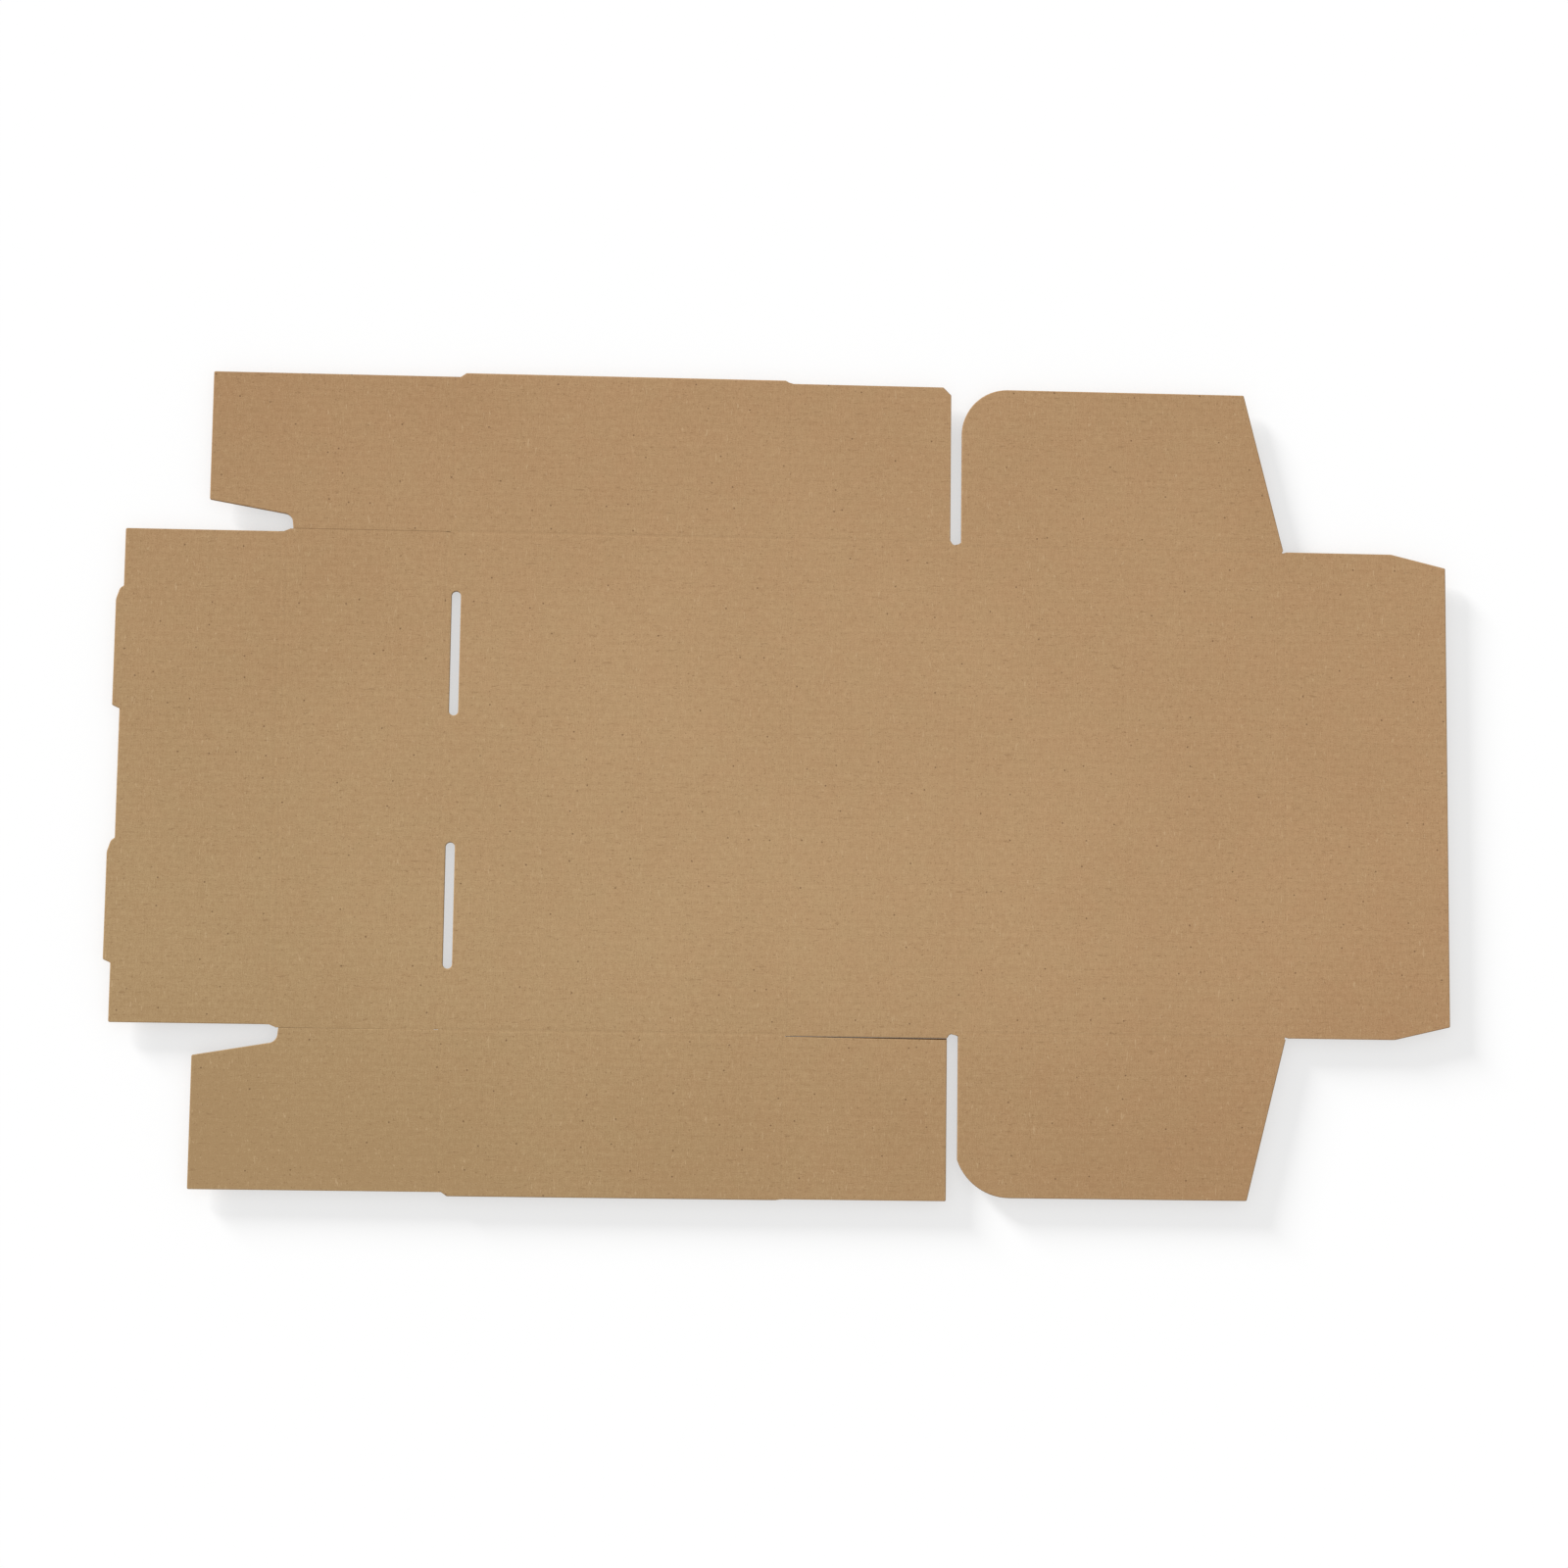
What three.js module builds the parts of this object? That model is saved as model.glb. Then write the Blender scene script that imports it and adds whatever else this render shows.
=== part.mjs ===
import * as THREE from "three";

// Flat die-cut blank of a corrugated mailer box, lying with its inside face up. Millimetres, +Z up.
// The front of the box is towards -X, the lid towards +X, left is +Y. Flutes run along X.

// Board
const BOARD = 1.6;
const CREASE_GAP = 0.3;
const SLIT_GAP = 0.3;
const CORNER_RADIUS = 0.7;

// Sizes of the closed box, between inside faces
const INSIDE_WIDTH = 229;
const FRONT_HEIGHT = 73.35;
const LID_DEPTH = 153.3;

// Clearances between panels once the box is folded
const TUCK_CLEARANCE = 0.25;
const STACK_CLEARANCE = 0.2;
const UNDER_ROLL_CLEARANCE = 0.4;
const SIDE_BELOW_ROLL = 0.15;
const LID_CLEARANCE = 0.95;
const TAB_TIP_CLEARANCE = 0.45;
const DUST_FLOOR_CLEARANCE = 1.3;

// Roll-over front: top strip, inner panel and its two locking tabs
const ROLL_WIDTH = 2.8;
const INNER_INSET = 1.4;
const TAB_REACH = 3.4;
const TAB_END_PLAY = 0.45;
const TAB_SHOULDER = 6.3;
const TAB_SHOULDER_BEVEL = 1.1;
const TAB_STEP = 1.5;
const NOTCH_LEAD_IN = 0.8;
const NOTCH_RUN = 3;

// Locking slots in the bottom
const SLOT_WIDTH = 4.2;
const SLOT_LENGTH = 57.6;
const SLOT_FROM_MIDDLE = 29.2;
const SLOT_EDGE_PLAY = 0.4;

// Corner flaps on the side walls
const FRONT_FLAP_MEETING_GAP = 2.85;
const FRONT_FLAP_TIP_LEAD = 1.45;
const FRONT_FLAP_TIP_DROP = 6.4;
const FRONT_FLAP_TIP_ROUND = 4.4;
const FRONT_FLAP_END_DROP = 12.9;
const REAR_SLOT_WIDTH = 5.1;
const REAR_FLAP_DROP_LEFT = 1.5;
const REAR_FLAP_DROP_RIGHT = 0.4;
const REAR_FLAP_CHAMFER = 3.7;
const REAR_FLAP_SHIFT = 0.8;
const REAR_SLIT_FLARE = 0.5;
const SIDE_STEP_FROM_CREASE = 1.9;
const SIDE_STEP_RUN = 2.65;

// Dust flaps on the lid
const DUST_CREASE_INSET = 1.9;
const DUST_FRONT_TAPER = 18.55;
const DUST_ROOT_SETBACK = 0.35;
const DUST_ROUND_LEFT = 21.5;
const DUST_ROUND_RIGHT = 25.3;
const DUST_ARC_START_RIGHT = 23.9;

// Tuck flap on the lid
const TUCK_INSET = 1.45;
const TUCK_TAPER_START = 50.1;
const TUCK_TAPER = 6.1;
const TUCK_BEND_RADIUS = 4;

// Lengths that follow from the folds
const INNER_HEIGHT = FRONT_HEIGHT + BOARD - TAB_REACH - TAB_TIP_CLEARANCE;
const SIDE_HEIGHT = FRONT_HEIGHT + BOARD - SIDE_BELOW_ROLL;
const BACK_HEIGHT = FRONT_HEIGHT + BOARD + LID_CLEARANCE;
const BOTTOM_DEPTH = LID_DEPTH + 2 * BOARD + ROLL_WIDTH + TUCK_CLEARANCE;
const TUCK_HEIGHT = BACK_HEIGHT - STACK_CLEARANCE;
const DUST_HEIGHT = BACK_HEIGHT - DUST_FLOOR_CLEARANCE;
const FRONT_FLAP_HEIGHT = FRONT_HEIGHT - UNDER_ROLL_CLEARANCE;
const FRONT_FLAP_INSET = (ROLL_WIDTH + BOARD) / 2;
const FRONT_FLAP_LENGTH = INSIDE_WIDTH / 2 - FRONT_FLAP_MEETING_GAP;
const REAR_FLAP_INSET = BOARD + STACK_CLEARANCE;
const DUST_REAR_SETBACK = REAR_FLAP_INSET + STACK_CLEARANCE;
const BLANK_LENGTH = TAB_REACH + INNER_HEIGHT + ROLL_WIDTH + FRONT_HEIGHT + BOTTOM_DEPTH
  + BACK_HEIGHT + LID_DEPTH + TUCK_HEIGHT;

// Crease lines across the blank, from the tab ends to the tuck flap's edge
const xTabEnd = -BLANK_LENGTH / 2;
const xInnerEdge = xTabEnd + TAB_REACH;
const xInnerCrease = xInnerEdge + INNER_HEIGHT;
const xRollCrease = xInnerCrease + ROLL_WIDTH;
const xFrontCrease = xRollCrease + FRONT_HEIGHT;
const xBackCrease = xFrontCrease + BOTTOM_DEPTH;
const xLidCrease = xBackCrease + BACK_HEIGHT;
const xTuckCrease = xLidCrease + LID_DEPTH;
const xTuckEdge = xTuckCrease + TUCK_HEIGHT;

// Crease lines along the blank, and the flap creases on the side walls
const ySideCrease = INSIDE_WIDTH / 2;
const yDustCrease = ySideCrease - DUST_CREASE_INSET;
const xFrontFlapCrease = xFrontCrease + FRONT_FLAP_INSET;
const xRearFlapCrease = xBackCrease - REAR_FLAP_INSET;
const xDustRear = xLidCrease + DUST_REAR_SETBACK;
const xRearFlapEnd = xDustRear - REAR_SLOT_WIDTH;

const gap = CREASE_GAP / 2;
const slit = SLIT_GAP / 2;
const yInner = ySideCrease - INNER_INSET;
const yTuck = ySideCrease - TUCK_INSET;
const yFront = ySideCrease - slit;
const yBack = ySideCrease + REAR_FLAP_SHIFT - slit;

const group = new THREE.Group();
group.name = "cardboard_shipping_box";

const kraft = new THREE.MeshStandardMaterial({ color: 0xb19068, roughness: 0.9, metalness: 0 });

// A closed outline from corners [x, y, radius]: each corner with a radius gets a tangent arc.
function rounded(corners) {
  const path = [];
  corners.forEach(([x, y, radius = 0], i) => {
    const corner = new THREE.Vector2(x, y);
    if (radius === 0) {
      path.push(corner);
      return;
    }
    const [px, py] = corners[(i + corners.length - 1) % corners.length];
    const [nx, ny] = corners[(i + 1) % corners.length];
    const back = new THREE.Vector2(px, py).sub(corner);
    const ahead = new THREE.Vector2(nx, ny).sub(corner);
    const half = Math.acos(THREE.MathUtils.clamp(back.dot(ahead) / back.length() / ahead.length(), -1, 1)) / 2;
    const reach = Math.min(radius / Math.tan(half), back.length() * 0.499, ahead.length() * 0.499);
    const used = reach * Math.tan(half);
    const start = corner.clone().addScaledVector(back.normalize(), reach);
    const bisector = back.clone().add(ahead.normalize()).normalize();
    const centre = corner.clone().addScaledVector(bisector, used / Math.sin(half));
    const spoke = start.clone().sub(centre);
    const sweep = Math.PI - 2 * half;
    const turn = Math.sign(spoke.cross(corner.clone().sub(centre)));
    const steps = Math.max(2, Math.ceil((sweep / Math.PI) * (used > 3 ? 32 : 14)));
    for (let k = 0; k <= steps; k += 1) {
      path.push(spoke.clone().rotateAround(new THREE.Vector2(), (turn * sweep * k) / steps).add(centre));
    }
  });
  return path;
}

// Points of an arc about a centre, from one angle to another.
function arc(cx, cy, radius, from, to, steps) {
  const points = [];
  for (let k = 0; k <= steps; k += 1) {
    const angle = from + ((to - from) * k) / steps;
    points.push([cx + radius * Math.cos(angle), cy + radius * Math.sin(angle)]);
  }
  return points;
}

// One panel: the outline in plan, cut through the full board. side -1 mirrors it to the right.
function panel(name, corners, side = 1, holes = []) {
  const mirrored = corners.map(([x, y, radius]) => [x, y * side, radius]);
  const shape = new THREE.Shape(rounded(mirrored));
  holes.forEach((hole) => shape.holes.push(new THREE.Path(rounded(hole))));
  const geometry = new THREE.ExtrudeGeometry(shape, { depth: BOARD, bevelEnabled: false });
  const mesh = new THREE.Mesh(geometry, kraft);
  mesh.name = name;
  group.add(mesh);
}

// Bottom, with the two slots that the locking tabs drop into
const xSlotNear = xFrontCrease + ROLL_WIDTH - SLOT_EDGE_PLAY;
const xSlotFar = xSlotNear + SLOT_WIDTH;
const slots = [1, -1].map((side) => [
  [xSlotNear, side * SLOT_FROM_MIDDLE, SLOT_WIDTH / 2],
  [xSlotFar, side * SLOT_FROM_MIDDLE, SLOT_WIDTH / 2],
  [xSlotFar, side * (SLOT_FROM_MIDDLE + SLOT_LENGTH), SLOT_WIDTH / 2],
  [xSlotNear, side * (SLOT_FROM_MIDDLE + SLOT_LENGTH), SLOT_WIDTH / 2],
]);
const yBottom = ySideCrease - gap;
panel("bottom", [
  [xFrontCrease + gap, -yBottom],
  [xBackCrease - gap, -yBottom],
  [xBackCrease - gap, yBottom],
  [xFrontCrease + gap, yBottom],
], 1, slots);

// Front wall, whose top corners open into the notches beside the inner panel
const yNotch = (x) => yInner + ((x - xInnerCrease - NOTCH_LEAD_IN) * (yFront - yInner)) / NOTCH_RUN;
const xNotchStart = xInnerCrease + NOTCH_LEAD_IN;
const xNotchTip = xNotchStart + NOTCH_RUN;
panel("front_wall", [
  [xRollCrease + gap, -yNotch(xRollCrease + gap)],
  [xNotchTip, -yFront],
  [xFrontCrease - gap, -yFront],
  [xFrontCrease - gap, yFront],
  [xNotchTip, yFront],
  [xRollCrease + gap, yNotch(xRollCrease + gap)],
]);

// Narrow strip that becomes the top edge of the doubled front
panel("front_top_strip", [
  [xInnerCrease + gap, -yInner],
  [xNotchStart, -yInner],
  [xRollCrease - gap, -yNotch(xRollCrease - gap)],
  [xRollCrease - gap, yNotch(xRollCrease - gap)],
  [xNotchStart, yInner],
  [xInnerCrease + gap, yInner],
]);

// Inner front panel; each tab has a rounded shoulder at its left end and a short step at its right
const tab = (yLeft) => {
  const yRight = yLeft - SLOT_LENGTH + 2 * TAB_END_PLAY;
  return [
    [xInnerEdge, yLeft, CORNER_RADIUS],
    [xInnerEdge - TAB_REACH / 2, yLeft - TAB_SHOULDER_BEVEL, TAB_REACH],
    [xTabEnd, yLeft - TAB_SHOULDER, 2 * TAB_REACH],
    [xTabEnd, yRight + TAB_STEP, CORNER_RADIUS],
    [xInnerEdge, yRight, CORNER_RADIUS],
  ];
};
panel("front_inner_panel", [
  [xInnerCrease - gap, yInner],
  [xInnerEdge, yInner, CORNER_RADIUS],
  ...tab(SLOT_FROM_MIDDLE + SLOT_LENGTH - TAB_END_PLAY),
  ...tab(-SLOT_FROM_MIDDLE - TAB_END_PLAY),
  [xInnerEdge, -yInner, CORNER_RADIUS],
  [xInnerCrease - gap, -yInner],
]);

// Back wall; a round-ended slot comes in beside it at each end of the lid crease
const slotRadius = (xDustRear - xRearFlapEnd) / 2;
const xSlotMiddle = xRearFlapEnd + slotRadius;
const ySlotMiddle = ySideCrease - INNER_INSET + slotRadius + 0.1;
const ySlotRound = (x) => ySlotMiddle - Math.sqrt(slotRadius ** 2 - (x - xSlotMiddle) ** 2);
const backCorner = [0, 1, 2, 3].map((k) => {
  const reach = Math.sqrt(slotRadius ** 2 - (ySlotMiddle - yBack) ** 2);
  const start = xSlotMiddle - reach;
  const x = start + ((xLidCrease - gap - start) * k) / 3;
  return [x, ySlotRound(x)];
});
panel("back_wall", [
  [xBackCrease + gap, yBack],
  ...backCorner,
  ...backCorner.map(([x, y]) => [x, -y]).reverse(),
  [xBackCrease + gap, -yBack],
]);

// Lid, with a small ear at each rear corner that closes the slot's round end
const yLid = yDustCrease - gap;
const lidEar = [
  [xDustRear - CREASE_GAP, yLid],
  [xDustRear - CREASE_GAP, ySlotRound(xDustRear - CREASE_GAP)],
  [xLidCrease + gap, ySlotRound(xLidCrease + gap)],
];
panel("lid", [
  [xLidCrease + gap, -ySlotRound(xLidCrease + gap)],
  [xDustRear - CREASE_GAP, -ySlotRound(xDustRear - CREASE_GAP)],
  [xDustRear - CREASE_GAP, -yLid],
  [xTuckCrease - gap, -yLid],
  [xTuckCrease - gap, yLid],
  ...lidEar,
]);

// Tuck flap, which tapers towards its free edge
panel("tuck_flap", [
  [xTuckCrease + gap, yTuck],
  [xTuckCrease + gap, -yTuck],
  [xTuckCrease + TUCK_TAPER_START, -yTuck, TUCK_BEND_RADIUS],
  [xTuckEdge, -yTuck + TUCK_TAPER, CORNER_RADIUS],
  [xTuckEdge, yTuck - TUCK_TAPER, CORNER_RADIUS],
  [xTuckCrease + TUCK_TAPER_START, yTuck, TUCK_BEND_RADIUS],
]);

// Side walls: the outer edge steps down to the height of the corner flap at each end
const ySideEdge = ySideCrease + SIDE_HEIGHT;
const yFrontFlapEdge = ySideCrease + FRONT_FLAP_HEIGHT;
const sideWall = (yRearFlapEdge) => [
  [xFrontFlapCrease + gap, ySideCrease + gap],
  [xRearFlapCrease - gap, ySideCrease + gap],
  [xRearFlapCrease - gap, yRearFlapEdge],
  [xRearFlapCrease - gap - SIDE_STEP_RUN, ySideEdge],
  [xFrontFlapCrease + SIDE_STEP_FROM_CREASE + SIDE_STEP_RUN, ySideEdge],
  [xFrontFlapCrease + SIDE_STEP_FROM_CREASE, yFrontFlapEdge],
  [xFrontFlapCrease + gap, yFrontFlapEdge],
];

// Front corner flaps: long flaps held inside the doubled front, with a slanted lower edge
const ySlitFlap = ySideCrease + slit;
const xFrontTip = xNotchTip + FRONT_FLAP_TIP_LEAD;
const xFrontFlapEnd = xFrontFlapCrease - FRONT_FLAP_LENGTH;
const frontCornerFlap = [
  [xFrontFlapCrease - gap, ySlitFlap],
  [xFrontFlapCrease - gap, yFrontFlapEdge],
  [xFrontFlapEnd, yFrontFlapEdge, CORNER_RADIUS],
  [xFrontFlapEnd, ySideCrease + FRONT_FLAP_END_DROP, CORNER_RADIUS],
  [xFrontTip - CORNER_RADIUS, ySideCrease + FRONT_FLAP_TIP_DROP, FRONT_FLAP_TIP_ROUND],
  [xFrontTip, ySlitFlap],
];

// Rear corner flaps: held inside the back wall, cut free of it by a slit that can gape at its end
const rearCornerFlap = (yEdge, flare, chamfer) => [
  [xRearFlapCrease + gap, ySlitFlap + REAR_FLAP_SHIFT],
  [xRearFlapEnd, ySlitFlap + REAR_FLAP_SHIFT + flare],
  [xRearFlapEnd, yEdge - chamfer, CORNER_RADIUS],
  ...(chamfer > 0 ? [[xRearFlapEnd - chamfer, yEdge, CORNER_RADIUS]] : []),
  [xRearFlapCrease + gap, yEdge],
];

// Dust flaps: rounded rear corner, slanted front edge
const yDustEdge = yDustCrease + DUST_HEIGHT;
const yDustRoot = yDustCrease + gap;
const xDustRoot = xTuckCrease - DUST_ROOT_SETBACK;
const dustFront = [
  [xDustRoot - DUST_FRONT_TAPER, yDustEdge, CORNER_RADIUS],
  [xDustRoot, yDustRoot],
];
const dustFlapLeft = [
  [xDustRear, yDustRoot],
  [xDustRear, yDustEdge, DUST_ROUND_LEFT],
  ...dustFront,
];
const arcStart = Math.PI - Math.acos(DUST_ARC_START_RIGHT / DUST_ROUND_RIGHT);
const dustFlapRight = [
  [xDustRear, yDustRoot],
  ...arc(xDustRear + DUST_ARC_START_RIGHT, yDustEdge - DUST_ROUND_RIGHT, DUST_ROUND_RIGHT, arcStart, Math.PI / 2, 14),
  ...dustFront,
];

const yRearLeft = ySideEdge - REAR_FLAP_DROP_LEFT;
const yRearRight = ySideEdge - REAR_FLAP_DROP_RIGHT;
panel("left_side_wall", sideWall(yRearLeft));
panel("left_front_corner_flap", frontCornerFlap);
panel("left_rear_corner_flap", rearCornerFlap(yRearLeft, 0, REAR_FLAP_CHAMFER));
panel("left_dust_flap", dustFlapLeft);
panel("right_side_wall", sideWall(yRearRight), -1);
panel("right_front_corner_flap", frontCornerFlap, -1);
panel("right_rear_corner_flap", rearCornerFlap(yRearRight, REAR_SLIT_FLARE, 0), -1);
panel("right_dust_flap", dustFlapRight, -1);

export default group;
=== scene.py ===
import math

import bpy
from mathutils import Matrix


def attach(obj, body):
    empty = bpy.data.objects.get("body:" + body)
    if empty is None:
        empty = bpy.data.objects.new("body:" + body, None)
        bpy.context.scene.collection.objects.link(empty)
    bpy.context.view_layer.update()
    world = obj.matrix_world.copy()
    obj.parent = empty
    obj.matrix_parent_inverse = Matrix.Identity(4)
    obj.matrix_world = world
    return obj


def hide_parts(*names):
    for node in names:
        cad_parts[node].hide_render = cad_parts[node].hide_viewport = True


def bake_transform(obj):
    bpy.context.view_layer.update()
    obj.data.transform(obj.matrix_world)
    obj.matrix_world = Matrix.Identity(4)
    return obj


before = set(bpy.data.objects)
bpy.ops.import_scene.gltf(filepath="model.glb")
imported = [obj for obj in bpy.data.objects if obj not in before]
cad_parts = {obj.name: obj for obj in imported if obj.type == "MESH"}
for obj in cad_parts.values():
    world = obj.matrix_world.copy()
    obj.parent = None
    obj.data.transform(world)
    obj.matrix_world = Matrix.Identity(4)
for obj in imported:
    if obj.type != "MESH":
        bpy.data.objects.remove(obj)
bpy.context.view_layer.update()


# Camera: the flat blank is seen from nearly straight above and turned a little, through a 72 mm
# lens, 1.4 metres up. Place and turn are fitted to the corners of the blank in the photograph.
CAMERA_PLACE = (-0.06409391, -0.15902769, 1.43134903)
CAMERA_TURN = (6.31668537, -2.6309526, 0.72486944)

camera_data = bpy.data.cameras.new("camera")
camera_data.lens = 72
camera_data.sensor_width = 36
camera_data.clip_end = 20
camera = bpy.data.objects.new("camera", camera_data)
bpy.context.scene.collection.objects.link(camera)
camera.location = CAMERA_PLACE
camera.rotation_euler = [math.radians(turn) for turn in CAMERA_TURN]
bpy.context.scene.camera = camera
bpy.context.scene.view_settings.view_transform = "Standard"


# Table and light: a matt white table top a few millimetres below the board, soft light from the
# whole room, and a low lamp at the upper left that throws the shadow to the lower right.
TABLE_SIZE = 16
TABLE_GAP = 0.0046
TABLE_WHITE = (0.995, 0.995, 0.995, 1.0)
TABLE_SHADE = (0.985, 0.985, 0.985, 1.0)
WHITE_SHARE = 0.57
LAMP_STRENGTH = 5.0
LAMP_WIDTH, LAMP_TILT, LAMP_SIDE = 13, 76, 135
ROOM_STRENGTH = 0.63
WHITE = (1, 1, 1, 1)
MIX_FIRST, MIX_SECOND, MIX_RESULT = 6, 7, 2  # the places of a Mix node's colours


class Flow:
    """A value, a place or a colour on its way through the nodes of a finish."""

    def __init__(self, socket):
        self.socket = socket
        self.tree = socket.id_data

    @staticmethod
    def node(tree, kind, settings=None, sockets=None, out=0):
        """Adds a node of any type, with its settings and the values or links of its sockets."""
        made = tree.nodes.new(kind)
        for key, value in (settings or {}).items():
            setattr(made, key, value)
        for key, value in (sockets or {}).items():
            if isinstance(value, Flow):
                tree.links.new(value.socket, made.inputs[key])
            else:
                made.inputs[key].default_value = value
        return Flow(made.outputs[out])

    def output(self, name):
        """Another output of the same node."""
        return Flow(self.socket.node.outputs[name])

    def feed(self, socket):
        self.tree.links.new(self.socket, socket)

    def maths(self, operation, other=0.0):
        sockets = {0: self, 1: other}
        return self.node(self.tree, "ShaderNodeMath", {"operation": operation}, sockets)

    def __add__(self, other):
        return self.maths("ADD", other)

    def __sub__(self, other):
        return self.maths("SUBTRACT", other)

    def __rsub__(self, other):
        return self * -1.0 + other

    def __mul__(self, other):
        return self.maths("MULTIPLY", other)

    __radd__ = __add__
    __rmul__ = __mul__

    def ramp(self, low, high, start=0.0, end=1.0):
        """Rises softly from start to end while the value goes from low to high."""
        settings = {"interpolation_type": "SMOOTHSTEP"}
        sockets = {0: self, 1: low, 2: high, 3: start, 4: end}
        return self.node(self.tree, "ShaderNodeMapRange", settings, sockets)

    def mix(self, first, second):
        """A colour between two, with this value as the share of the second."""
        sockets = {0: self, MIX_FIRST: first, MIX_SECOND: second}
        return self.node(self.tree, "ShaderNodeMix", {"data_type": "RGBA"}, sockets, MIX_RESULT)

    def tinted(self, tint):
        """This colour multiplied by another."""
        settings = {"data_type": "RGBA", "blend_type": "MULTIPLY"}
        sockets = {0: 1.0, MIX_FIRST: self, MIX_SECOND: tint}
        return self.node(self.tree, "ShaderNodeMix", settings, sockets, MIX_RESULT)

    def scaled(self, x, y, z):
        sockets = {0: self, 1: (x, y, z)}
        return self.node(self.tree, "ShaderNodeVectorMath", {"operation": "MULTIPLY"}, sockets)

    def noise(self, scale, detail, roughness=0.5, distortion=0.0):
        sockets = {"Vector": self, "Scale": scale, "Detail": detail,
                   "Roughness": roughness, "Distortion": distortion}
        return self.node(self.tree, "ShaderNodeTexNoise", None, sockets)


def new_finish(name):
    finish = bpy.data.materials.new(name)
    finish.use_nodes = True
    return finish, finish.node_tree, finish.node_tree.nodes["Principled BSDF"]


def painted(red, green, blue):
    """A colour as a paint chart gives it, 0 to 255, turned into light by the sRGB curve."""
    parts = []
    for part in (red, green, blue):
        part = part / 255
        parts.append(part / 12.92 if part < 0.04045 else ((part + 0.055) / 1.055) ** 2.4)
    return (*parts, 1.0)


def seen_rays(tree):
    """1 for what the camera sees, straight, mirrored or through glass, and 0 for other light."""
    rays = Flow.node(tree, "ShaderNodeLightPath")
    seen = rays.output("Is Camera Ray") + rays.output("Is Glossy Ray")
    seen = seen + rays.output("Is Transmission Ray")
    return seen.maths("MINIMUM", 1.0)


def show_instead(tree, share, lit, shown, last_node):
    """Shows one shader over another in that share, and feeds both to the last node."""
    either = Flow.node(tree, "ShaderNodeMixShader", None, {0: share, 1: lit, 2: shown})
    either.feed(tree.nodes[last_node].inputs["Surface"])


table_finish, table_tree, table_shader = new_finish("white_table")
table_place = Flow.node(table_tree, "ShaderNodeTexCoord", out="Object")
table_place.noise(90.0, 4.0).mix(TABLE_SHADE, TABLE_WHITE).feed(table_shader.inputs["Base Color"])
table_shader.inputs["Roughness"].default_value = 0.9
table_shader.inputs["Specular IOR Level"].default_value = 0.0
table_glow = Flow.node(table_tree, "ShaderNodeEmission", None, {"Strength": 1.0})
show_instead(table_tree, seen_rays(table_tree) * WHITE_SHARE, Flow(table_shader.outputs[0]),
             table_glow, "Material Output")

bpy.ops.object.select_all(action="DESELECT")
bpy.ops.mesh.primitive_grid_add(x_subdivisions=4, y_subdivisions=4, size=TABLE_SIZE,
                                location=(0, 0, -TABLE_GAP))
bpy.ops.object.transform_apply(location=True, rotation=False, scale=False)
table = bpy.context.object
table.name = "table_top"
table.data.materials.append(table_finish)

lamp_data = bpy.data.lights.new("low_lamp", "SUN")
lamp_data.energy = LAMP_STRENGTH
lamp_data.angle = math.radians(LAMP_WIDTH)
lamp = bpy.data.objects.new("low_lamp", lamp_data)
bpy.context.scene.collection.objects.link(lamp)
lamp.rotation_euler = (0, math.radians(LAMP_TILT), math.radians(LAMP_SIDE))

world = bpy.data.worlds.new("white_room")
bpy.context.scene.world = world
world.use_nodes = True
world_tree = world.node_tree
room_light = world_tree.nodes["Background"]
room_light.inputs["Color"].default_value = WHITE
room_light.inputs["Strength"].default_value = ROOM_STRENGTH
room_seen = Flow.node(world_tree, "ShaderNodeBackground", None, {"Color": WHITE, "Strength": 1.0})
show_instead(world_tree, seen_rays(world_tree), Flow(room_light.outputs[0]), room_seen,
             "World Output")


# Bottom panel, and the board that every panel is cut from: two brown kraft papers with a fluted
# paper glued between them. The cutting rule presses the rim down, and the fluting shows at the
# cut. The bottom is bounded by four creases and carries the two locking slots.
X, Y = 0, 1
MM = 0.001
TOUCHING = 1e-6
FINE = 1e-7
BOARD = 1.6 * MM
PAPER = 0.25 * MM
FLUTED_PAPER = 0.18 * MM
FLUTE_PITCH = 3.41 * MM
GLUE_DEPTH = 0.01 * MM
WAVES = 112
STEPS_PER_WAVE = 12
FLUTING_LENGTH = 0.64
RIM_WIDTH = 0.35 * MM
RIM_DROP = 0.12 * MM
KRAFT_DARK = painted(164, 131, 92)
KRAFT_PALE = painted(188, 156, 115)
COOL_TINT = (1.0, 1.051, 1.07, 1.0)
WARM_TINT = (1.0, 0.927, 0.94, 1.0)
SPECK_BROWN = painted(128, 98, 66)
FIBRE_BROWN = painted(134, 103, 70)
FIBRE_PALE = painted(204, 176, 138)
BARK_BROWN = painted(96, 70, 46)
# painted shade of the pressed rim and the crease grooves
RIM_SHADE_BROWN = painted(140, 110, 80)
# the raw cut's own brown, made darker as painted shade at the cut edge
CUT_AND_SHADE_BROWN = painted(152, 108, 62)

# Places in the paper are in millimetres on the flat sheet, as note_places keeps them.
board_finish, board_tree, board_shader = new_finish("kraft_board")
kept_place = Flow.node(board_tree, "ShaderNodeAttribute", {"attribute_name": "sheet_place"},
                       out="Vector")
place = kept_place.scaled(1000, 1000, 1000)
along = Flow.node(board_tree, "ShaderNodeSeparateXYZ", None, {0: place}, "X")
across = along.output("Y")
height = along.output("Z")
flat_place = place.scaled(1, 1, 0)

# Cloudy stains, fine grain, the paper machine's marks both ways and the faint flute lines.
clouds = flat_place.noise(0.012, 2.0)
mottle = flat_place.noise(0.35, 4.0, 0.65)
grain = place.noise(1.9, 2.0, 0.6)
lines_along = place.scaled(0.35, 2.2, 1).noise(0.8, 2.0, 0.6)
lines_across = place.scaled(2.2, 0.35, 1).noise(0.7, 2.0, 0.6)
flute_wave = (across * (2 * math.pi * MM / FLUTE_PITCH) + mottle * 0.6).maths("SINE")
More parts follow.
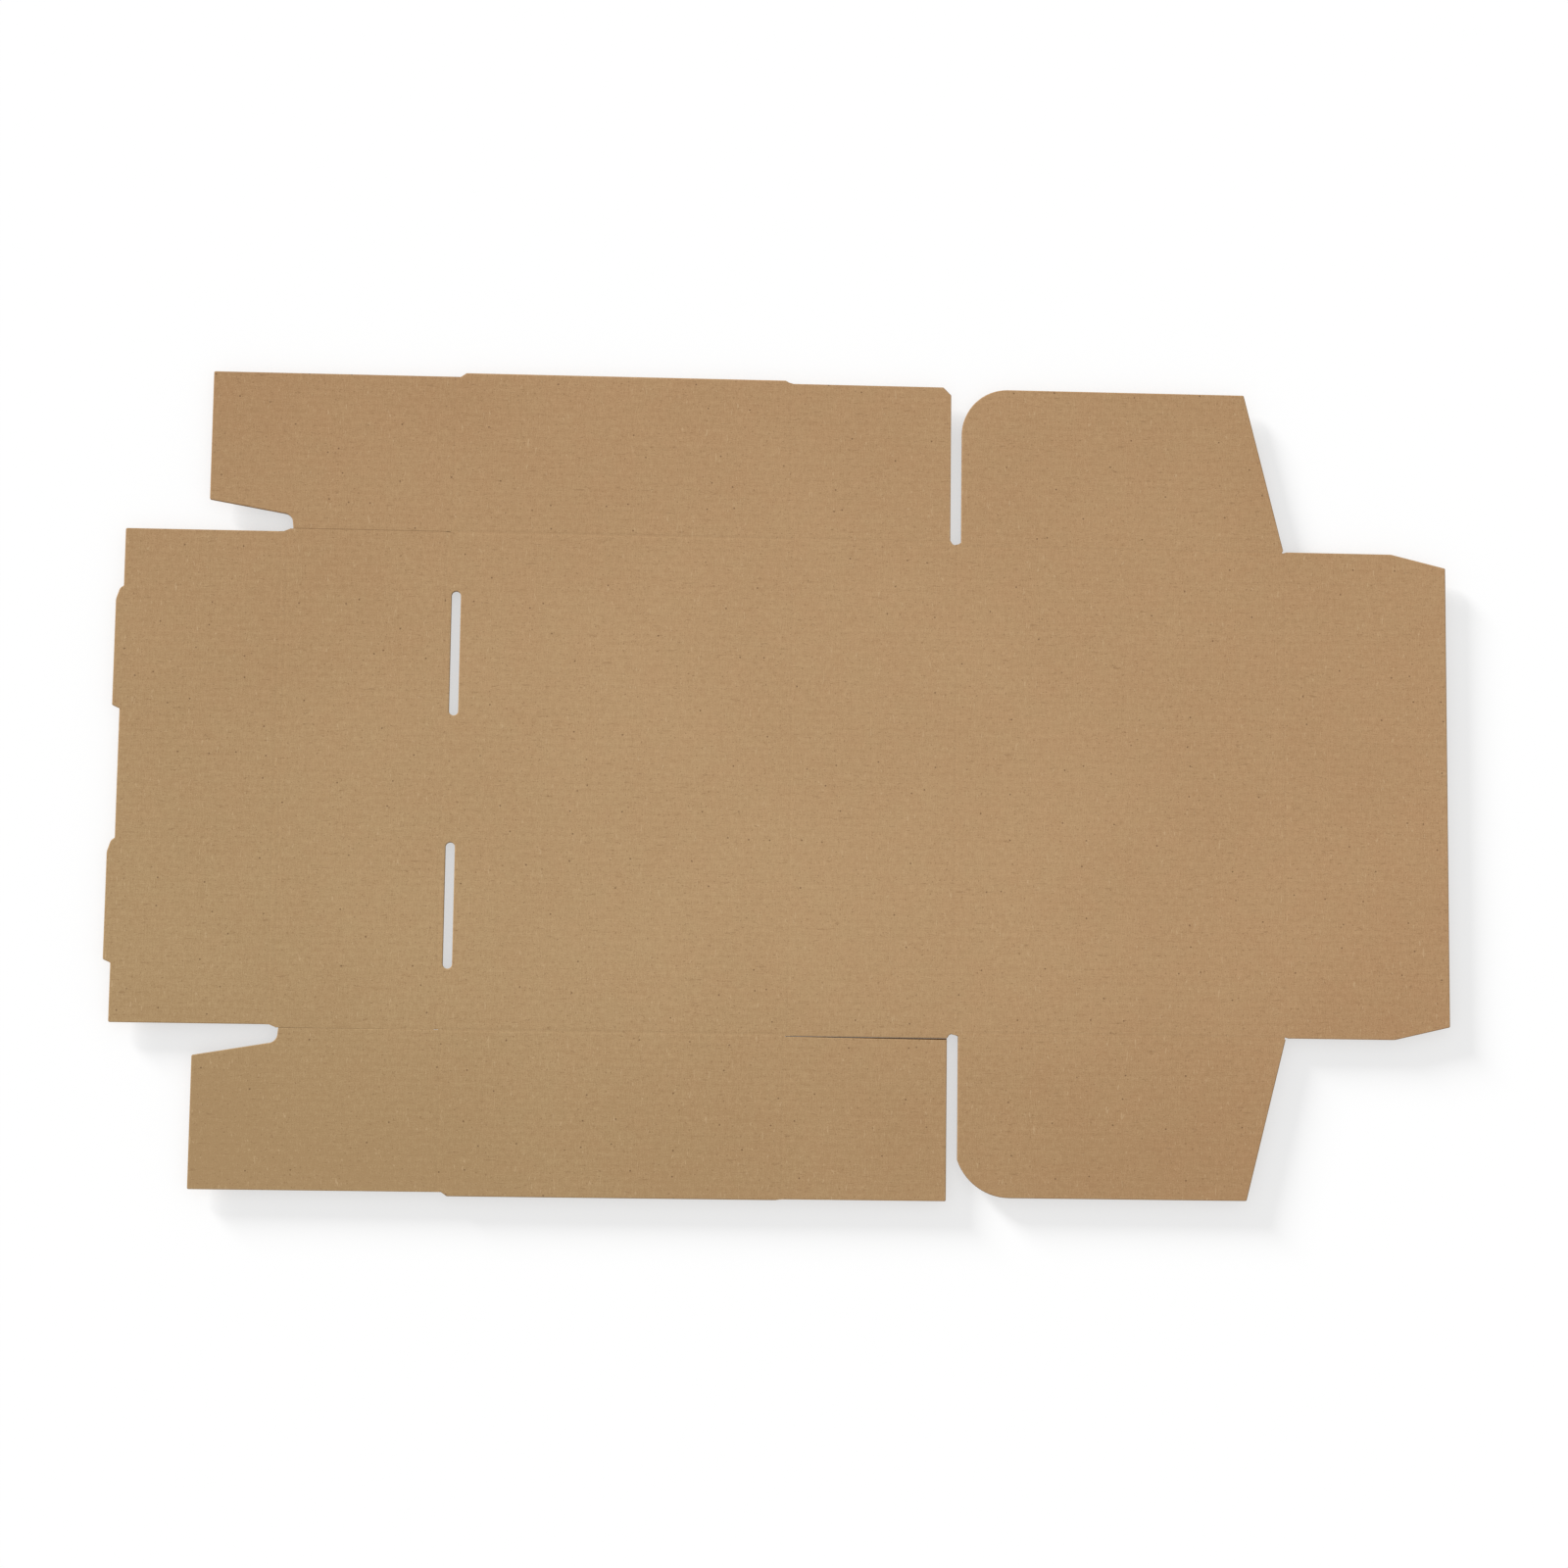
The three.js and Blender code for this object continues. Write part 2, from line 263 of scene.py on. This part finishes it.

# Each moves the paper's tone from its middle. The fall of the tone towards the sheet's ends is
# painted shade: the light falls off away from the middle of the sheet.
tone = clouds.ramp(0.3, 0.7, -0.05, 0.05)
tone = tone + mottle.ramp(0.25, 0.75, -0.12, 0.12)
tone = tone + grain.ramp(0.2, 0.8, -0.32, 0.32)
tone = tone + lines_along.ramp(0.25, 0.75, -0.11, 0.11)
tone = tone + lines_across.ramp(0.25, 0.75, -0.15, 0.15)
tone = tone + flute_wave * 0.035
# Painted shade: darker towards the front, the rear and both sides, most on the right.
tone = tone + along.ramp(-300, -40, -0.2, 0.03) + along.ramp(60, 310, 0.0, -0.1)
tone = tone + across.ramp(-190, -60, -0.36, 0.0) + across.ramp(60, 190, 0.0, -0.12)
tone = (tone + 0.5).maths("MAXIMUM", 0.0).maths("MINIMUM", 1.0)

# The paper is a little warmer at the rear and on the left, in patches.
warmth = along * 0.00097 + across * 0.00117 - along * across * 0.0000059
warmth = warmth + flat_place.noise(0.07, 3.0, 0.6).ramp(0.3, 0.7, 0.4, 0.6)
colour = tone.mix(KRAFT_DARK, KRAFT_PALE).tinted(warmth.mix(COOL_TINT, WARM_TINT))

# Specks and fibres lie all over, and a dot of bark a few centimetres apart.
dark_specks = flat_place.noise(0.9, 1.0, 0.5).ramp(0.665, 0.72)
dark_fibres = place.scaled(0.3, 1.5, 0).noise(0.8, 1.0, 0.4, 0.9).ramp(0.67, 0.74)
pale_fibres = place.scaled(1.4, 0.35, 0).noise(0.85, 1.0, 0.4, 0.9).ramp(0.685, 0.76)
dot_distance = Flow.node(board_tree, "ShaderNodeTexVoronoi", {"voronoi_dimensions": "2D"},
                         {"Vector": place, "Scale": 0.085})
dot_kind = dot_distance.output("Color")
bark_dots = dot_distance.ramp(0.046, 0.018) * dot_kind.ramp(0.66, 0.72)
colour = (dark_specks * 0.5).mix(colour, SPECK_BROWN)
colour = (dark_fibres * 0.35).mix(colour, FIBRE_BROWN)
colour = (pale_fibres * 0.4).mix(colour, FIBRE_PALE)
colour = (bark_dots * 0.7).mix(colour, BARK_BROWN)

# The pressed rim is darker: painted shade along the rim and in the shallow crease grooves. The cut
# below it, down to the bottom paper, is darker too: partly the raw board's own brown, partly
# painted shade at the cut edge.
rim_shade = height.ramp(1.595, 1.50)
cut_and_edge_shade = height.ramp(1.47, 1.40) * height.ramp(0.16, 0.22)
colour = (rim_shade * 0.2).mix(colour, RIM_SHADE_BROWN)
colour = (cut_and_edge_shade * 0.7).mix(colour, CUT_AND_SHADE_BROWN)

colour.feed(board_shader.inputs["Base Color"])
grain.ramp(0.2, 0.8, 0.82, 0.95).feed(board_shader.inputs["Roughness"])
board_shader.inputs["Specular IOR Level"].default_value = 0.25
relief = flute_wave * 0.004 + grain * 0.012 + lines_along * 0.01 + pale_fibres * 0.01
bump = Flow.node(board_tree, "ShaderNodeBump", None,
                 {"Height": relief, "Distance": MM, "Strength": 0.7})
bump.feed(board_shader.inputs["Normal"])


def pick(*pieces):
    """Selects these pieces and no others, and works on the last."""
    bpy.ops.object.select_all(action="DESELECT")
    for piece in pieces:
        piece.select_set(True)
    bpy.context.view_layer.objects.active = pieces[-1]


def all_selected():
    bpy.ops.mesh.select_all(action="SELECT")


def start_on(piece):
    """Edit mode on one piece, with all of it selected."""
    pick(piece)
    bpy.ops.object.mode_set(mode="EDIT")
    all_selected()


def start_marked(piece, kind):
    """Edit mode on one piece, with only the points or faces selected that the code marked."""
    pick(piece)
    bpy.context.tool_settings.mesh_select_mode = (kind == "VERT", False, kind == "FACE")
    bpy.ops.object.mode_set(mode="EDIT")


def stop_work():
    bpy.ops.object.mode_set(mode="OBJECT")


def unmark(piece):
    for part in (*piece.data.polygons, *piece.data.edges):
        part.select = False


def laid(axis, value, other=0.0, up=0.0):
    """A place, size or direction: its part along one axis, its part on the other, its height."""
    return (value, other, up) if axis == X else (other, value, up)


def slice_off(point, away):
    """Cuts the piece flat at a point and drops the side that away points to."""
    all_selected()
    bpy.ops.mesh.bisect(plane_co=point, plane_no=away, use_fill=True, clear_outer=True,
                        threshold=FINE)


def point_outwards():
    all_selected()
    bpy.ops.mesh.normals_make_consistent(inside=False)


def copy_of(piece, name):
    new = bpy.data.objects.new(name, piece.data.copy())
    bpy.context.scene.collection.objects.link(new)
    return new


def smooth(piece, degrees):
    pick(piece)
    bpy.ops.object.shade_smooth_by_angle(angle=math.radians(degrees))


def note_places(piece):
    """Keeps each point's place on the flat sheet, so that the pattern stays put in a fold."""
    places = [part for point in piece.data.vertices for part in point.co]
    kept = piece.data.attributes.new("sheet_place", "FLOAT_VECTOR", "POINT")
    kept.data.foreach_set("vector", places)


def nudge(x_low, x_high, y, step, reach=0.05):
    """A move in mm: the points between two X and within reach of a Y go a small step aside."""
    return (x_low, y - reach), (x_high, y + reach), step


def take_aside(piece, moves):
    for low, high, step in moves:
        unmark(piece)
        for point in piece.data.vertices:
            point.select = all(low[i] * MM <= point.co[i] <= high[i] * MM for i in (X, Y))
        start_marked(piece, "VERT")
        bpy.ops.transform.translate(value=(step[X] * MM, step[Y] * MM, 0))
        stop_work()


def press_rim(paper, lines):
    """Presses down the cut rim of the top paper, but not on the given lines."""
    start_on(paper)
    stop_work()
    for face in paper.data.polygons:
        face.select = face.normal.z > 0.9
    start_marked(paper, "FACE")
    bpy.ops.mesh.inset(thickness=RIM_WIDTH, depth=0, use_even_offset=True, use_boundary=True)
    stop_work()
    unmark(paper)
    side_points = set()
    for face in paper.data.polygons:
        if abs(face.normal.z) < 0.5:
            side_points.update(face.vertices)
    for point in paper.data.vertices:
        on_line = any(abs(point.co[axis] - where) < TOUCHING for axis, where in lines)
        at_rim = point.index in side_points and point.co.z > BOARD - TOUCHING
        point.select = at_rim and not on_line
    start_marked(paper, "VERT")
    bpy.ops.transform.translate(value=(0, 0, -RIM_DROP))
    stop_work()


bpy.ops.object.select_all(action="DESELECT")
bpy.ops.mesh.primitive_grid_add(x_subdivisions=1, y_subdivisions=WAVES * STEPS_PER_WAVE, size=1)
fluting = bpy.context.object
fluting.name = "fluting"
fluting.scale = (FLUTING_LENGTH, WAVES * FLUTE_PITCH, 1)
fluting.location = (0, 0, BOARD / 2)
bpy.ops.object.transform_apply(location=True, rotation=False, scale=True)
wave_height = (BOARD - 2 * PAPER - FLUTED_PAPER) / 2 + GLUE_DEPTH
for point in fluting.data.vertices:
    point.co.z += wave_height * math.sin(2 * math.pi * point.co.y / FLUTE_PITCH)
thick = fluting.modifiers.new("paper", "SOLIDIFY")
thick.thickness = FLUTED_PAPER
thick.offset = 0
bpy.ops.object.modifier_apply(modifier="paper")


def board_panel(node, name, folds, corner_at=None, moves=(), lower_moves=(), unpressed=()):
    """One panel: top paper, fluting and bottom paper, cut to its outline between its folds.
    folds are the edges at creases: axis, place in mm, and the side that is dropped. corner_at
    adds a corner where the edge crosses that Y. moves take points of the whole panel aside, and
    lower_moves those of its bottom paper. unpressed names lines whose rim isn't pressed down,
    where two panels are only slit apart."""
    top = copy_of(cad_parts[node], name)
    top.data.materials.clear()
    start_on(top)
    bpy.ops.mesh.remove_doubles(threshold=TOUCHING)
    bpy.ops.mesh.dissolve_limited(angle_limit=math.radians(1))
    for axis, where, side in folds:
        slice_off(laid(axis, where * MM), laid(axis, side))
    if corner_at is not None:
        all_selected()
        bpy.ops.mesh.bisect(plane_co=laid(Y, corner_at * MM), plane_no=laid(Y, 1), threshold=FINE)
    point_outwards()
    stop_work()
    take_aside(top, moves)

    middle = copy_of(fluting, name + "_fluting")
    trim = middle.modifiers.new("trim", "BOOLEAN")
    trim.operation = "INTERSECT"
    trim.solver = "EXACT"
    trim.object = top
    pick(middle)
    bpy.ops.object.modifier_apply(modifier="trim")
    smooth(middle, degrees=50)

    bottom = copy_of(top, name + "_bottom_paper")
    start_on(top)
    slice_off((0, 0, BOARD - PAPER), (0, 0, -1))
    stop_work()
    start_on(bottom)
    slice_off((0, 0, PAPER), (0, 0, 1))
    stop_work()
    take_aside(bottom, lower_moves)
    fold_lines = [(axis, where * MM) for axis, where, side in folds]
    press_rim(top, fold_lines + [(axis, where * MM) for axis, where in unpressed])

    pick(middle, bottom, top)
    bpy.ops.object.join()
    top.data.materials.clear()
    top.data.materials.append(board_finish)
    note_places(top)
    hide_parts(node)
    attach(top, node)


FOLD_HALF = 1.0
FRONT_FOLD = -156.9
BACK_FOLD = 2.65
SIDE_FOLD = 114.5
board_panel("bottom", "bottom_board",
            [(X, FRONT_FOLD + FOLD_HALF, -1), (X, BACK_FOLD - FOLD_HALF, 1),
             (Y, SIDE_FOLD - FOLD_HALF, 1), (Y, FOLD_HALF - SIDE_FOLD, -1)])


# Front wall, its narrow top strip and the inner front panel with its two locking tabs: one run of
# board, creased twice close together so that the inner panel rolls over the front wall. The front
# wall is slit from the corner flaps beside it, and the cut edges touch in the flat sheet.
TOP_FOLD = -230.25
INNER_FOLD = -233.05
FRONT_EDGE = 114.35
SLIT_PRESS = 0.13
FRONT_RUN = (-230, -157)
COLUMNS = 10
GROOVE_SHARE = 0.9
UNDERSIDE_SHARE = 0.4
ACROSS_FLUTES = 0.02


def fold_strip(name, axis, line, outward, near, far, groove):
    """The creased strip between two panels, 2 mm wide, pressed from the inside face.
    line is the crease; near and far are its ends, each at the parent's and the child's side;
    groove is the depth of the pressed line. All are in mm."""
    line = line * MM
    half = FOLD_HALF * MM
    near = [end * MM for end in near]
    far = [end * MM for end in far]
    low, high = min(near), max(far)
    bpy.ops.object.select_all(action="DESELECT")
    bpy.ops.mesh.primitive_cube_add(size=1, location=laid(axis, line, (low + high) / 2, BOARD / 2))
    strip = bpy.context.object
    strip.name = name
    strip.scale = laid(axis, 2 * half, high - low, BOARD)
    bpy.ops.object.transform_apply(location=True, rotation=False, scale=True)
    start_on(strip)
    for column in range(1, COLUMNS):
        all_selected()
        bpy.ops.mesh.bisect(plane_co=laid(axis, line - half + 2 * half * column / COLUMNS),
                            plane_no=laid(axis, 1), threshold=FINE)
    for end, sign in ((near, -1), (far, 1)):
        if abs(end[0] - end[1]) > FINE:
            slant = (end[0] - end[1]) / (2 * half * outward) * sign
            slice_off(laid(axis, line - outward * half, end[0]), laid(axis, slant, sign))
    point_outwards()
    stop_work()
    for point in strip.data.vertices:
        off = abs(point.co[axis] - line) / half
        pressed = max(0.0, 1 - (off / GROOVE_SHARE) ** 2) * groove * MM
        if point.co.z > BOARD - TOUCHING:
            point.co.z -= pressed
        elif point.co.z < TOUCHING:
            point.co.z += pressed * UNDERSIDE_SHARE
    smooth(strip, degrees=40)
    strip.data.materials.append(board_finish)
    note_places(strip)
    start = laid(axis, line - outward * half, 0, BOARD)
    end = laid(axis, line + outward * half, 0, BOARD)
    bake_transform(strip)


board_panel("front_wall", "front_wall_board",
            [(X, FRONT_FOLD - FOLD_HALF, 1), (X, TOP_FOLD + FOLD_HALF, -1)],
            moves=[nudge(*FRONT_RUN, FRONT_EDGE, (0, SLIT_PRESS)),
                   nudge(*FRONT_RUN, -FRONT_EDGE, (0, -SLIT_PRESS))])
board_panel("front_top_strip", "front_top_board",
            [(X, TOP_FOLD - FOLD_HALF, 1), (X, INNER_FOLD + FOLD_HALF, -1)])
board_panel("front_inner_panel", "front_inner_board", [(X, INNER_FOLD - FOLD_HALF, 1)])
for name, parent, child, line, before, after in (
        ("front_wall_crease", "bottom", "front_wall", FRONT_FOLD, FRONT_EDGE, FRONT_EDGE),
        ("front_top_crease", "front_wall", "front_top_strip", TOP_FOLD, FRONT_EDGE, 113.52),
        ("inner_panel_crease", "front_top_strip", "front_inner_panel", INNER_FOLD, 113.18, 113.1)):
    fold_strip(name, X, line, -1, (-before, -after), (before, after), ACROSS_FLUTES)


# Side walls: a wall along each side of the bottom, folded up on a crease that runs with the
# flutes. Each long outer edge has small steps, cut with the rest of the sheet.
ALONG_FLUTES = 0.03
FRONT_CORNER_FOLD = -154.7
REAR_CORNER_FOLD = 0.85
SIDE_FRONT_ENDS = (-155.9, -155.72)
SIDE_REAR_ENDS = (1.65, 1.6)
for side, way in (("left", 1), ("right", -1)):
    board_panel(side + "_side_wall", side + "_side_board",
                [(Y, (SIDE_FOLD + FOLD_HALF) * way, -way),
                 (X, FRONT_CORNER_FOLD + FOLD_HALF, -1), (X, REAR_CORNER_FOLD - FOLD_HALF, 1)])
    fold_strip(side + "_side_crease", Y, SIDE_FOLD * way, way,
               SIDE_FRONT_ENDS, SIDE_REAR_ENDS, ALONG_FLUTES)


# Corner flaps: one at each end of each side wall, folded in behind the front and the back. They
# are slit from the front and back walls. The photograph shows the front slits and the left rear
# one pressed shut, and the right rear one a little open.
CORNER_INNER = 115.5
FRONT_FLAP_EDGE = 114.65
FRONT_FLAP_OUTER = 187.45
REAR_FLAP_EDGE = 115.45
LOWER_PRESS = 0.03
REAR_PRESS = 0.28
SLIT_START, SLIT_END = 0.24, 0.74

# The right rear slit is open in the top paper, and the bottom paper closes it from below.
rear_edges = {
    "left": {"moves": [nudge(1.8, 76, REAR_FLAP_EDGE, (0, -REAR_PRESS))],
             "unpressed": [(Y, REAR_FLAP_EDGE - REAR_PRESS)]},
    "right": {"lower_moves": [nudge(1.8, 2, -REAR_FLAP_EDGE, (0, SLIT_START)),
                              nudge(75, 76, -115.95, (0, SLIT_END))]},
}


def strip_ends(way, inner, outer):
    """The low and the high end of a strip that runs along Y on one side of the sheet."""
    if way > 0:
        return inner, outer
    return tuple(-end for end in outer), tuple(-end for end in inner)


for side, way, rear_outer in (("left", 1, (188.28, 187.8)), ("right", -1, (189.03, 188.9))):
    board_panel(side + "_front_corner_flap", side + "_front_corner_board",
                [(X, FRONT_CORNER_FOLD - FOLD_HALF, 1)],
                moves=[nudge(-230, -155, FRONT_FLAP_EDGE * way, (0, -SLIT_PRESS * way))],
                lower_moves=[nudge(-230, -155, FRONT_FLAP_EDGE * way, (0, -LOWER_PRESS * way),
                                   reach=0.25)])
    board_panel(side + "_rear_corner_flap", side + "_rear_corner_board",
                [(X, REAR_CORNER_FOLD + FOLD_HALF, -1)], **rear_edges[side])
    near, far = strip_ends(way, (CORNER_INNER, CORNER_INNER), (FRONT_FLAP_OUTER, FRONT_FLAP_OUTER))
    fold_strip(side + "_front_corner_crease", X,
               FRONT_CORNER_FOLD, -1, near, far, ACROSS_FLUTES)
    near, far = strip_ends(way, (CORNER_INNER, REAR_FLAP_EDGE), rear_outer)
    fold_strip(side + "_rear_corner_crease", X,
               REAR_CORNER_FOLD, 1, near, far, ACROSS_FLUTES)


# Back wall and lid: the back wall stands up from the bottom on its crease, and the lid folds
# over from the top of the back wall. Both creases run across the flutes.
BACK_WALL_EDGE = 115.15
LID_FOLD = 78.55
LID_FOLD_LOW, LID_FOLD_HIGH = 113.24, 113.72
TUCK_FOLD = 231.85
DUST_FOLD = 112.6
board_panel("back_wall", "back_wall_board",
            [(X, BACK_FOLD + FOLD_HALF, -1), (X, LID_FOLD - FOLD_HALF, 1)],
            unpressed=[(Y, BACK_WALL_EDGE)])
fold_strip("back_wall_crease", X, BACK_FOLD, 1,
           (-BACK_WALL_EDGE, -BACK_WALL_EDGE), (BACK_WALL_EDGE, BACK_WALL_EDGE), ACROSS_FLUTES)
board_panel("lid", "lid_board",
            [(X, LID_FOLD + FOLD_HALF, -1), (X, TUCK_FOLD - FOLD_HALF, 1),
             (Y, DUST_FOLD - FOLD_HALF, 1), (Y, FOLD_HALF - DUST_FOLD, -1)])
fold_strip("lid_crease", X, LID_FOLD, 1,
           (-LID_FOLD_LOW, -LID_FOLD_HIGH), (LID_FOLD_LOW, LID_FOLD_HIGH), ACROSS_FLUTES)


# Dust flaps and tuck flap: the lid's two sides with their rounded corners go down inside the side
# walls, and its front edge tucks in behind the rolled-over front.
DUST_EDGE = DUST_FOLD + FOLD_HALF
DUST_REAR_ENDS = (79.55, 79.4)
DUST_FRONT_END = TUCK_FOLD - FOLD_HALF
DUST_REAR_REACH = 1.15
TUCK_LOW, TUCK_HIGH = 112.45, 113.05
for side, way, round_end in (("left", 1, 114.6), ("right", -1, 114.2)):
    board_panel(side + "_dust_flap", side + "_dust_board", [(Y, DUST_EDGE * way, -way)],
                corner_at=round_end * way,
                moves=[nudge(80, 81, DUST_EDGE * way, (-DUST_REAR_REACH, 0), reach=0.1)])
    fold_strip(side + "_dust_crease", Y, DUST_FOLD * way, way,
               DUST_REAR_ENDS, (DUST_FRONT_END, DUST_FRONT_END), ALONG_FLUTES)
board_panel("tuck_flap", "tuck_board", [(X, TUCK_FOLD + FOLD_HALF, -1)])
fold_strip("tuck_crease", X, TUCK_FOLD, 1,
           (-TUCK_LOW, -TUCK_HIGH), (TUCK_LOW, TUCK_HIGH), ACROSS_FLUTES)
bpy.data.objects.remove(fluting)
